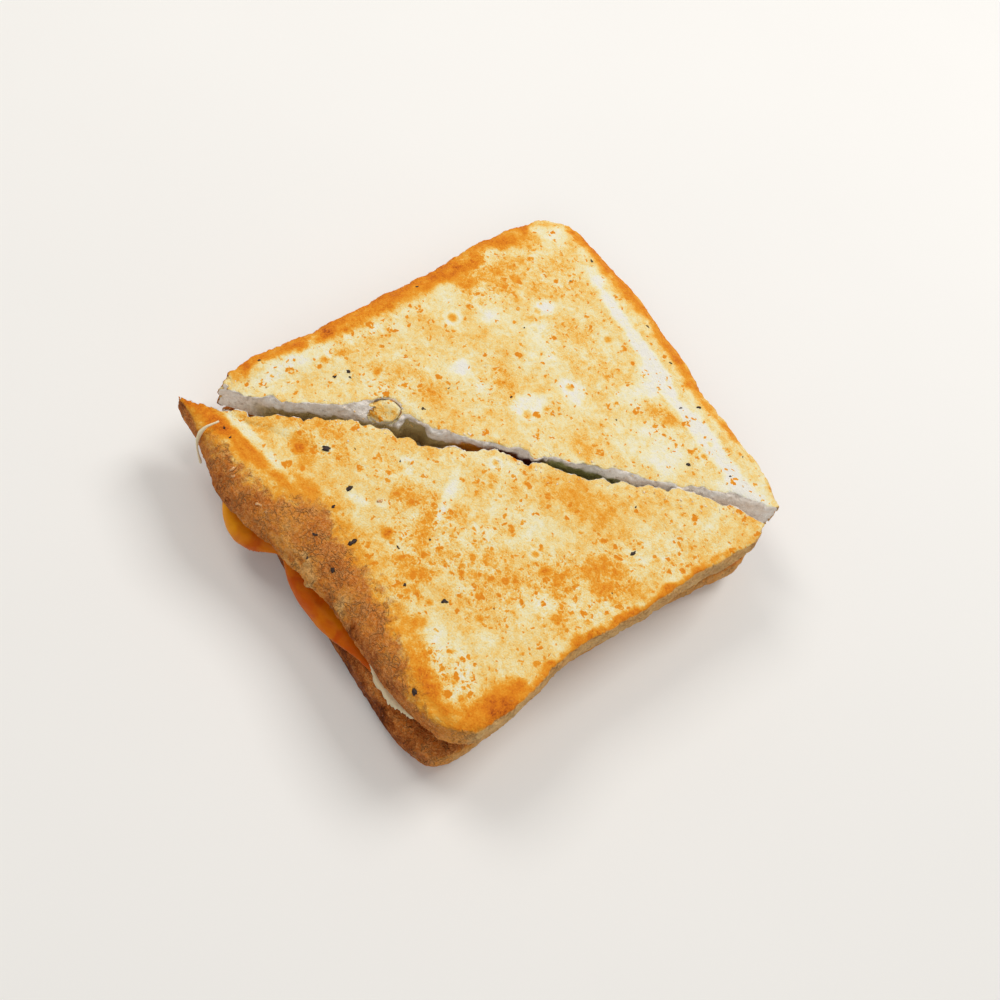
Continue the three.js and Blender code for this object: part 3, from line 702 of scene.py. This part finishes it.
def crust_group():
    """Fine leathery skin of baked crust, from pale to deep brown."""
    tree, s, entry, leave = new_group(
        "Baked crust",
        [("Tone", "NodeSocketFloat", 0.5)],
        [("Color", "NodeSocketColor"), ("Height", "NodeSocketFloat")],
    )
    where = s.place()
    clouds = s.noise(where, 170, 4, 0.6, 0.5)
    fibre = s.noise(where, 1000, 4, 0.65, 0.8)
    wrinkle = s.math("ABSOLUTE", s.math("SUBTRACT", s.noise(where, 620, 3, 0.6, 1.2), 0.5))
    pits = s.range(s.cells(where, 900), 0.12, 0.42)
    net = s.range(s.cells(s.stirred(where, 420, 0.004), 560, "DISTANCE_TO_EDGE"), 0.14, 0.0)
    net = s.math("MULTIPLY", net, s.range(s.noise(where, 260, 3, 0.6, 0.4), 0.42, 0.62))
    wide = s.noise(where, 65, 3, 0.5, 0.3)
    tone = s.math("ADD", entry["Tone"], s.math("MULTIPLY", s.math("SUBTRACT", clouds, 0.5), 0.55))
    tone = s.math("ADD", tone, s.math("MULTIPLY", s.math("SUBTRACT", wide, 0.5), 0.4))
    tone = s.math("ADD", tone, s.math("MULTIPLY", s.math("SUBTRACT", fibre, 0.5), 0.6), clamp=True)
    colour = s.colours(tone, [
        (0.00, linear(234, 194, 130)), (0.20, linear(224, 170, 100)), (0.40, linear(228, 150, 60)),
        (0.58, linear(208, 122, 46)), (0.76, linear(178, 98, 38)), (0.90, linear(134, 62, 6)),
        (1.00, linear(98, 42, 2)),
    ])
    pale = s.math("MAXIMUM", s.range(wrinkle, 0.05, 0.0), net)
    pale = s.math("MULTIPLY", pale, s.range(tone, 0.90, 0.62, 0.0, 0.62))
    colour = s.blend(pale, colour, linear(230, 168, 104))
    # painted shade: the crust is painted darker in the bottoms of its pits
    dark = s.math("MULTIPLY", s.math("SUBTRACT", 1.0, pits), 0.22)
    s.link(s.blend(dark, colour, linear(130, 66, 20)), leave["Color"])
    height = s.math("ADD", s.math("MULTIPLY", fibre, 0.9), s.math("MULTIPLY", pits, 0.4))
    height = s.math("ADD", height, s.math("MULTIPLY", wrinkle, -2.2))
    s.link(s.math("ADD", height, s.math("MULTIPLY", net, 1.4)), leave["Height"])
    return tree


def crumb_group():
    """Soft white inside of the bread, open in fine pores, with cheese colour and painted shade
    below.
    """
    tree, s, entry, leave = new_group(
        "Bread crumb",
        [("Pore size", "NodeSocketFloat", 700.0), ("Smear", "NodeSocketFloat", 0.0),
         ("Filling", "NodeSocketFloat", 0.0)],
        [("Color", "NodeSocketColor"), ("Height", "NodeSocketFloat")],
    )
    where = s.place()
    clouds = s.noise(where, 220, 3, 0.6)
    open_pores = s.range(s.cells(where, entry["Pore size"]), 0.08, 0.4)
    fluff = s.noise(where, 1900, 3, 0.6)
    colour = s.colours(clouds, [
        (0.30, linear(240, 224, 208)), (0.5, linear(247, 237, 226)), (0.70, linear(253, 249, 243)),
    ])
    shade = s.math("MULTIPLY", s.math("SUBTRACT", 1.0, open_pores), 0.30)
    colour = s.blend(shade, colour, linear(196, 160, 130))
    uneven = s.math("MULTIPLY", s.math("SUBTRACT", clouds, 0.5), 0.3)
    # painted shade and cheese along the lower cut: khaki, orange cheese, a deep red-brown painted
    # shadow, olive painted shade
    melted = s.colours(s.math("ADD", entry["Filling"], uneven), [
        (0.00, linear(190, 168, 118)), (0.20, linear(196, 170, 112)), (0.34, linear(206, 136, 20)),
        (0.58, linear(170, 92, 16)), (0.70, linear(74, 22, 16)), (0.84, linear(112, 74, 40)),
        (1.00, linear(150, 146, 92)),
    ])
    s.link(s.blend(entry["Smear"], colour, melted), leave["Color"])
    height = s.math("ADD", s.math("MULTIPLY", open_pores, 0.5), s.math("MULTIPLY", fluff, 0.5))
    s.link(height, leave["Height"])
    return tree


def melt_group():
    """Slow swirls and fine grease beads of molten cheese, with painted light at its thin tips and
    on the flap painted as lit.
    """
    tree, s, entry, leave = new_group(
        "Melted cheese",
        [("Deep", "NodeSocketColor", None), ("Light", "NodeSocketColor", None),
         ("Thin", "NodeSocketFloat", 0.0)],
        [("Color", "NodeSocketColor"), ("Height", "NodeSocketFloat"), ("Gloss", "NodeSocketFloat")],
    )
    where = s.place()
    swirl = s.noise(where, 140, 3, 0.5, 1.2)
    beads = s.noise(where, 1300, 2, 0.5)
    # painted light: the lit flap and the thin tips are mixed toward the light colour
    lit = s.math("MULTIPLY", entry["Thin"], 0.6)
    share = s.math("ADD", s.range(swirl, 0.3, 0.7, 0.0, 0.3), lit, clamp=True)
    s.link(s.blend(share, entry["Deep"], entry["Light"]), leave["Color"])
    height = s.math("ADD", s.math("MULTIPLY", swirl, 0.7), s.math("MULTIPLY", beads, 0.25))
    s.link(height, leave["Height"])
    s.link(s.range(beads, 0.35, 0.65), leave["Gloss"])
    return tree


# ---- materials -------------------------------------------------------------------------
def new_material(name, roughness):
    material = bpy.data.materials.new(name)
    material.use_nodes = True
    shader = material.node_tree.nodes["Principled BSDF"]
    shader.inputs["Roughness"].default_value = roughness
    return material, Sheet(material.node_tree), shader


def use_group(sheet, tree, **values):
    made = sheet.node("ShaderNodeGroup", node_tree=tree)
    for key, value in values.items():
        sheet.feed(made.inputs[key.replace("_", " ")], value)
    return made.outputs


def raise_surface(sheet, shader, height, depth, strength):
    bump = sheet.node("ShaderNodeBump")
    bump.inputs["Distance"].default_value = depth * MM
    bump.inputs["Strength"].default_value = strength
    sheet.link(height, bump.inputs["Height"])
    sheet.link(bump.outputs["Normal"], shader.inputs["Normal"])


def toasted_bread_material(toast, crust, crumb):
    material, s, shader = new_material("toasted bread", 0.7)
    face = use_group(s, toast, Level=s.painted("toast"), Freckles=s.painted("freckle"))
    side = use_group(s, crust, Tone=s.painted("tone"))
    # painted shade and cheese colour on the lower cut face
    smear, filling = s.painted("smear"), s.painted("filling")
    inside = use_group(s, crumb, Pore_size=650.0, Smear=smear, Filling=filling)
    where = s.place()
    edge = s.math("MULTIPLY", s.math("SUBTRACT", s.noise(where, 500, 3, 0.6), 0.5), 0.5)
    worn = s.math("MULTIPLY", s.math("SUBTRACT", s.noise(where, 620, 4, 0.65), 0.5), 1.5)
    on_crust = s.range(s.math("ADD", s.painted("crust"), worn), 0.15, 0.85)
    on_crumb = s.range(s.math("ADD", s.painted("crumb"), edge), 0.40, 0.60)
    colour = s.blend(on_crust, face["Color"], side["Color"])
    colour = s.blend(on_crumb, colour, inside["Color"])
    s.link(colour, shader.inputs["Base Color"])
    height = s.math("ADD", face["Height"], s.math("MULTIPLY", on_crust, side["Height"]))
    height = s.math("ADD", height, s.math("MULTIPLY", on_crumb, inside["Height"]))
    raise_surface(s, shader, height, 0.40, 1.0)
    s.link(s.range(face["Gloss"], 0.0, 1.0, 0.72, 0.56), shader.inputs["Roughness"])
    shader.inputs["Specular IOR Level"].default_value = 0.10
    return material


def cheese_material(name, melt, deep, light, roughness):
    material, s, shader = new_material(name, roughness)
    out = use_group(s, melt, Deep=deep, Light=light, Thin=s.painted("thin"))
    s.link(out["Color"], shader.inputs["Base Color"])
    gloss = s.range(out["Gloss"], 0.0, 1.0, roughness - 0.06, roughness + 0.08)
    s.link(gloss, shader.inputs["Roughness"])
    raise_surface(s, shader, out["Height"], 0.25, 0.5)
    shader.inputs["Coat Weight"].default_value = 0.03
    shader.inputs["Specular IOR Level"].default_value = 0.12
    shader.inputs["Coat Roughness"].default_value = 0.2
    return material


def floor_material():
    material, s, shader = new_material("pale table", 0.8)
    tint = s.noise(s.place(), 6, 3, 0.5)
    colour = s.blend(tint, linear(240, 239, 237), linear(246, 245, 243))
    s.link(colour, shader.inputs["Base Color"])
    return material


TOASTED_BREAD = toasted_bread_material(toast_group(), crust_group(), crumb_group())
MELT = melt_group()
# lit and shaded copies of the yellow cheese: the light colour as where it is lit, the deep colour
# as in shade
YELLOW = (linear(194, 80, 0), linear(250, 170, 8))           # deep and light
WHITE = (linear(232, 216, 176), linear(246, 238, 214))
YELLOW_CHEESE = cheese_material("yellow cheese", MELT, *YELLOW, 0.34)
WHITE_CHEESE = cheese_material("white cheese", MELT, *WHITE, 0.40)

# ---- the sandwich ----------------------------------------------------------------------
bread_slice("front_top", "front_top_slice", 1, FRONT_TOAST, TOAST_LEVEL["front"],
            GRAIN["top"], 11, shown_face=True)
bread_slice("back_top", "back_top_slice", -1, BACK_TOAST, TOAST_LEVEL["back"],
            GRAIN["top"], 23, shown_face=True)
bread_slice("front_bottom", "front_bottom_slice", 1, FRONT_TOAST, TOAST_LEVEL["front"],
            GRAIN["bottom"], 37)
bread_slice("back_bottom", "back_bottom_slice", -1, BACK_TOAST, TOAST_LEVEL["back"],
            GRAIN["bottom"], 41)
bread_slice("chip", "torn_chip", -1, BACK_TOAST, TOAST_LEVEL["chip"],
            GRAIN["small"], 53, flake=True)
melted_sheet("front_yellow", "front_yellow_cheese", YELLOW_CHEESE, "yellow_cheese",
             GRAIN["melt"], 61)
melted_sheet("back_yellow", "back_yellow_cheese", YELLOW_CHEESE, "yellow_cheese",
             GRAIN["inner_melt"], 67)
melted_sheet("front_white", "front_white_cheese", WHITE_CHEESE, "white_cheese",
             GRAIN["melt"], 71, SEAM_OOZE)
melted_sheet("back_white", "back_white_cheese", WHITE_CHEESE, "white_cheese",
             GRAIN["inner_melt"], 79)
melted_sheet("string", "cheese_string", WHITE_CHEESE, "white_cheese", GRAIN["small"], 83)


# ---- small things on the bread -----------------------------------------------------------
BURNT = [                                      # burnt crumbs: x, y, radius in mm
    (-22.3, -36.8, 1.0), (-10, -37.8, 0.9), (2.9, -45.1, 0.9), (-7.6, -43.8, 0.5),
    (-3.9, -51.6, 0.7), (6.2, -52.6, 0.7), (28.1, -34.7, 0.9), (43.4, 15, 0.9),
    (-39.4, -19, 0.7), (-38, -19.6, 0.4),
    (-40.2, -23, 0.5), (-20, -8, 0.5), (31.7, 46.2, 0.6), (40.6, 54.2, 0.4), (33.6, 24.2, 0.35),
    (9.9, 37.5, 0.35), (16.4, 56.9, 0.4), (19, 62, 0.55), (38, 62, 0.4), (3, 65, 0.4),
    (-10.5, 67.5, 0.5), (-38, 67.5, 0.5), (-54.5, -37.3, 0.4), (-11, 15.4, 0.3), (-22, 1.9, 0.3),
    (-9.7, -22.4, 0.35), (42.2, -53.3, 0.7), (56.6, -50.6, 1.1), (-41, -55.2, 0.4),
    (-37.6, -55.3, 0.4),
    (10, -36.4, 0.45), (49, 2.9, 0.3), (-35, 56.3, 0.3), (19.2, -40.6, 0.4), (-55, 14, 0.4),
    (-18.6, -30.4, 0.3), (12.5, -28.4, 0.3), (36, -25.6, 0.3), (-28, 33, 0.3), (-0.5, -55.6, 0.4),
]
BEADS = [                                      # beads of butter: x, y, radius in mm
    (-29.5, -59.6, 0.7), (-27.8, -60.2, 0.4), (-17.8, -58.6, 0.8), (-15.6, -58.2, 0.5),
    (-3, -33.4, 0.9),
]
# Loose crumbs, in mm: how many, how far along the cut, and how far from its middle.
LOOSE = {
    "count": 150, "half_cut": 72, "middle": 1.0, "gap": 2.0, "spread": 1.3,
    "radius": (0.14, 0.36),
}
# Height of each kind of lump for its length, and how narrow the lumps are.
LYING_FLAT = {"burnt_crumbs": 0.35, "loose_crumbs": 0.7, "butter_beads": 0.22}
NARROW = 0.62
DROP_HEIGHT = 60 * MM


def pebble(shape, centre, radius, flat, squash, seed):
    """Adds one uneven lump to a bmesh, lying on the surface at centre with its flat side down."""
    made = bmesh.ops.create_icosphere(shape, subdivisions=2, radius=1.0)["verts"]
    unit = np.array([v.co[:] for v in made])
    uneven = np.clip(1 + 0.85 * sharpened(rough(unit + seed * 3.7, 0.85, seed, 2)), 0.3, 1.6)
    turn = Vector(flat).to_track_quat("Z", "Y")
    twist = Matrix.Rotation(seed * 2.4, 3, "Z")
    for vert, grow in zip(made, uneven):
        local = twist @ Vector((vert.co.x, vert.co.y * NARROW, vert.co.z * squash))
        vert.co = Vector(centre) + turn @ (local * float(grow) * radius * MM)


def bread_tree():
    """The tops of both halves, onto which small things are dropped."""
    shape = bmesh.new()
    for name in ("front_top", "back_top"):
        shape.from_mesh(bpy.data.objects[name].data)
    tree = BVHTree.FromBMesh(shape)
    shape.free()
    return tree


def scattered(name, spots, material, record_slot, seed):
    """One mesh of many lumps, each dropped straight down onto the bread."""
    shape = bmesh.new()
    for k, (x, y, radius) in enumerate(spots):
        start = Vector(((x + HEART[0]) * MM, (y + HEART[1]) * MM, DROP_HEIGHT))
        hit, flat, _, _ = BREAD.ray_cast(start, Vector((0, 0, -1)))
        if hit is not None and flat.z > 0.2:
            pebble(shape, hit, radius, flat, LYING_FLAT[name], seed + k)
    mesh = bpy.data.meshes.new(name)
    shape.to_mesh(mesh)
    shape.free()
    return finish_piece(name, mesh, material, record_slot)


def crumb_spots(seed):
    """Loose crumbs, most of them along the two edges of the cut."""
    chance = np.random.default_rng(seed)
    spots = []
    for _ in range(LOOSE["count"]):
        along = chance.uniform(-LOOSE["half_cut"], LOOSE["half_cut"])
        side = chance.choice([-1.0, 1.0])
        across = side * (LOOSE["gap"] + chance.exponential(LOOSE["spread"])) + LOOSE["middle"]
        x, y = along * KNIFE + across * ACROSS
        spots.append((x, y, chance.uniform(*LOOSE["radius"])))
    return spots


def burnt_material():
    material, s, shader = new_material("burnt crumbs", 0.6)
    char = s.noise(s.place(), 1500, 3, 0.6)
    colour = s.blend(char, linear(22, 14, 12), linear(60, 34, 22))
    s.link(colour, shader.inputs["Base Color"])
    raise_surface(s, shader, char, 0.2, 0.8)
    return material


def loose_crumb_material():
    material, s, shader = new_material("loose crumbs", 0.8)
    tint = s.noise(s.place(), 400, 3, 0.6)
    browned = s.range(tint, 0.35, 0.65)
    colour = s.blend(browned, linear(252, 246, 228), linear(244, 196, 112))
    s.link(colour, shader.inputs["Base Color"])
    raise_surface(s, shader, s.noise(s.place(), 3000, 2, 0.6), 0.15, 0.8)
    return material


def butter_material():
    material, s, shader = new_material("butter beads", 0.08)
    tint = s.noise(s.place(), 300, 2, 0.5)
    colour = s.blend(tint, linear(206, 140, 78), linear(230, 178, 112))
    s.link(colour, shader.inputs["Base Color"])
    shader.inputs["Coat Weight"].default_value = 1.0
    shader.inputs["Coat Roughness"].default_value = 0.04
    return material


BREAD = bread_tree()
scattered("burnt_crumbs", BURNT, burnt_material(), "toasted_bread", 301)
scattered("loose_crumbs", crumb_spots(5), loose_crumb_material(), "toasted_bread", 501)
scattered("butter_beads", BEADS, butter_material(), "white_cheese", 701)


# ---- table, light and camera -----------------------------------------------------------
TABLE = {"size": 6.0, "below": 0.05 * MM}      # m
LIGHTS = [                  # name, azimuth and elevation in degrees, distance, size, watts, colour
    ("window", 90, 52, 1.1, 0.45, 5.6, (1.0, 0.98, 0.95)),
    ("lamp", 185, 50, 1.1, 0.40, 3.6, (1.0, 0.96, 0.9)),
    ("fill", -50, 46, 1.3, 0.60, 2.4, (1.0, 0.98, 0.95)),
]
STUDIO = {"colour": (1.0, 0.99, 0.97, 1.0), "strength": 0.32}
EYE = {                     # the camera's place, the way it looks from and its roll, lens in mm
    "place": Vector((79.43, -117.36, 250.0)) * MM, "azimuth": -57.124, "elevation": 59.212,
    "roll": 23.32, "lens": 35.52, "shift": -0.027,
}


def direction(azimuth, elevation):
    """Unit vector toward a bearing, both in degrees, azimuth counter-clockwise from +X."""
    a, e = math.radians(azimuth), math.radians(elevation)
    return Vector((math.cos(a) * math.cos(e), math.sin(a) * math.cos(e), math.sin(e)))


def table_top():
    under = cad_box[0][2] - TABLE["below"]
    bpy.ops.mesh.primitive_plane_add(size=TABLE["size"], location=(0, 0, under))
    top = bpy.context.object
    top.name = "table_top"
    top.data.materials.append(floor_material())


def soft_box(name, azimuth, elevation, distance, size, watts, colour):
    """A square soft light that faces the sandwich."""
    lamp = bpy.data.lights.new(name, "AREA")
    lamp.shape = "SQUARE"
    lamp.size = size
    lamp.energy = watts
    lamp.color = colour
    holder = bpy.data.objects.new(name, lamp)
    way = direction(azimuth, elevation)
    holder.location = way * distance
    holder.rotation_euler = way.to_track_quat("Z", "Y").to_euler()
    bpy.context.scene.collection.objects.link(holder)


def camera():
    """Looks down on the front half from beyond its dome, a little rolled."""
    way = direction(EYE["azimuth"], EYE["elevation"])
    seen = bpy.data.cameras.new("camera")
    seen.lens = EYE["lens"]
    seen.sensor_width = 36
    seen.shift_y = EYE["shift"]
    seen.clip_start = 0.01
    holder = bpy.data.objects.new("camera", seen)
    level = way.to_track_quat("Z", "Y").to_matrix().to_4x4()
    rolled = Matrix.Rotation(math.radians(EYE["roll"]), 4, "Z")
    holder.matrix_world = Matrix.Translation(EYE["place"]) @ level @ rolled
    bpy.context.scene.collection.objects.link(holder)
    bpy.context.scene.camera = holder


def studio():
    world = bpy.data.worlds.new("studio")
    world.use_nodes = True
    background = world.node_tree.nodes["Background"]
    background.inputs["Color"].default_value = STUDIO["colour"]
    background.inputs["Strength"].default_value = STUDIO["strength"]
    bpy.context.scene.world = world


table_top()
for light in LIGHTS:
    soft_box(*light)
studio()
bpy.context.scene.view_settings.view_transform = "Standard"
camera()
